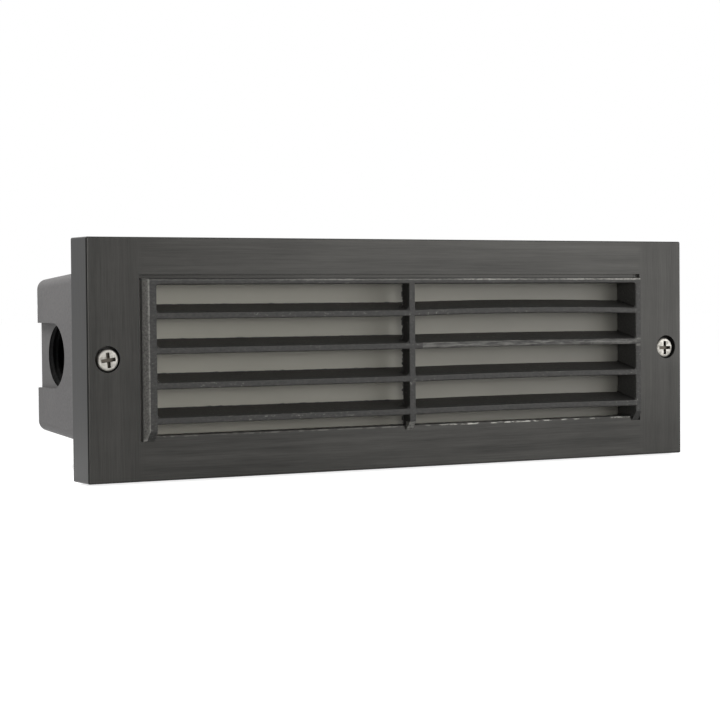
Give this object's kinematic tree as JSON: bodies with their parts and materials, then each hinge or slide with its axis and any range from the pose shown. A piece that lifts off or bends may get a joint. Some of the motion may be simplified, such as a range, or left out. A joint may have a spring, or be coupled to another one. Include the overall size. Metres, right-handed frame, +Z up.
{
  "type": "step light",
  "caption": "Louvred step light for a brick wall: cast faceplate with raised slats over a frosted lens, on a cast back box with a threaded conduit entry.",
  "frame": {"origin": "centre of the faceplate's back rim, on the wall plane", "axes": "+X along the faceplate towards its right end seen from the front, +Y into the wall, +Z up"},
  "size_m": [0.2286, 0.0853, 0.0762],
  "materials": {
    "faceplate_metal": "cast, dark anodised grey, brushed face",
    "stainless_screws": "satin stainless steel",
    "sealing_washers": "matt black",
    "lens_glass": "frosted, warm grey, unlit",
    "gasket_rubber": "matt black",
    "retainer_sheet": "plain stainless sheet",
    "inner_screws": "zinc plated",
    "box_casting": "as cast, matt grey",
    "reflector_sheet": "bright specular sheet",
    "grommet_rubber": "matt black",
    "bracket_steel": "zinc plated",
    "rivet_aluminium": "bright",
    "socket_ceramic": "unglazed white",
    "contact_brass": "plain",
    "lamp_glass": "clear",
    "filament_metal": "dull wire",
    "feed_insulation": "black insulation",
    "return_insulation": "white insulation",
    "connector_plastic": "moulded"
  },
  "bodies": {
    "housing": {"back_box": "box_casting", "reflector": "reflector_sheet", "reflector_screws": "inner_screws", "lead_grommets": "grommet_rubber", "lamp_bracket_left": "bracket_steel", "lamp_bracket_right": "bracket_steel", "bracket_rivets": "rivet_aluminium", "lamp_socket_left": "socket_ceramic", "lamp_socket_right": "socket_ceramic", "socket_contacts_left": "contact_brass", "socket_contacts_right": "contact_brass", "lead_left_feed": "feed_insulation", "lead_left_return": "return_insulation", "lead_right_feed": "feed_insulation", "lead_right_return": "return_insulation", "wire_connectors": "connector_plastic"},
    "faceplate": {"faceplate": "faceplate_metal", "faceplate_gasket": "gasket_rubber", "lens": "lens_glass", "lens_gasket": "gasket_rubber", "lens_retainer": "retainer_sheet", "lens_retainer_screws": "inner_screws"},
    "left_screw_washer": {"screw_washer_left": "sealing_washers"},
    "left_screw": {"faceplate_screw_left": "stainless_screws"},
    "right_screw_washer": {"screw_washer_right": "sealing_washers"},
    "right_screw": {"faceplate_screw_right": "stainless_screws"},
    "left_lamp": {"lamp_left": "lamp_glass", "lamp_filament_left": "filament_metal"},
    "right_lamp": {"lamp_right": "lamp_glass", "lamp_filament_right": "filament_metal"}
  },
  "joints": [
    {"name": "faceplate_removal", "type": "slide", "parent": "housing", "child": "faceplate", "axis": [0, -1, 0], "range_m": [0, 0.06]},
    {"name": "left_screw_travel", "type": "slide", "parent": "faceplate", "child": "left_screw_washer", "axis": [0, -1, 0], "range_m": [0, 0.0042]},
    {"name": "left_screw_turn", "type": "hinge", "parent": "left_screw_washer", "child": "left_screw", "pos_m": [-0.1073, 0, 0], "axis": [0, -1, 0], "range_deg": [0, 2160.1]},
    {"name": "right_screw_travel", "type": "slide", "parent": "faceplate", "child": "right_screw_washer", "axis": [0, -1, 0], "range_m": [0, 0.0042]},
    {"name": "right_screw_turn", "type": "hinge", "parent": "right_screw_washer", "child": "right_screw", "pos_m": [0.1073, 0, 0], "axis": [0, -1, 0], "range_deg": [0, 2160.1]},
    {"name": "left_lamp_pull", "type": "slide", "parent": "housing", "child": "left_lamp", "axis": [1, 0, 0], "range_m": [0, 0.01]},
    {"name": "right_lamp_pull", "type": "slide", "parent": "housing", "child": "right_lamp", "axis": [-1, 0, 0], "range_m": [0, 0.01]}
  ],
  "couplings": [
    {"joint": "left_screw_turn", "follows": "left_screw_travel", "rad_per_m": 8976},
    {"joint": "right_screw_turn", "follows": "right_screw_travel", "rad_per_m": 8976}
  ]
}
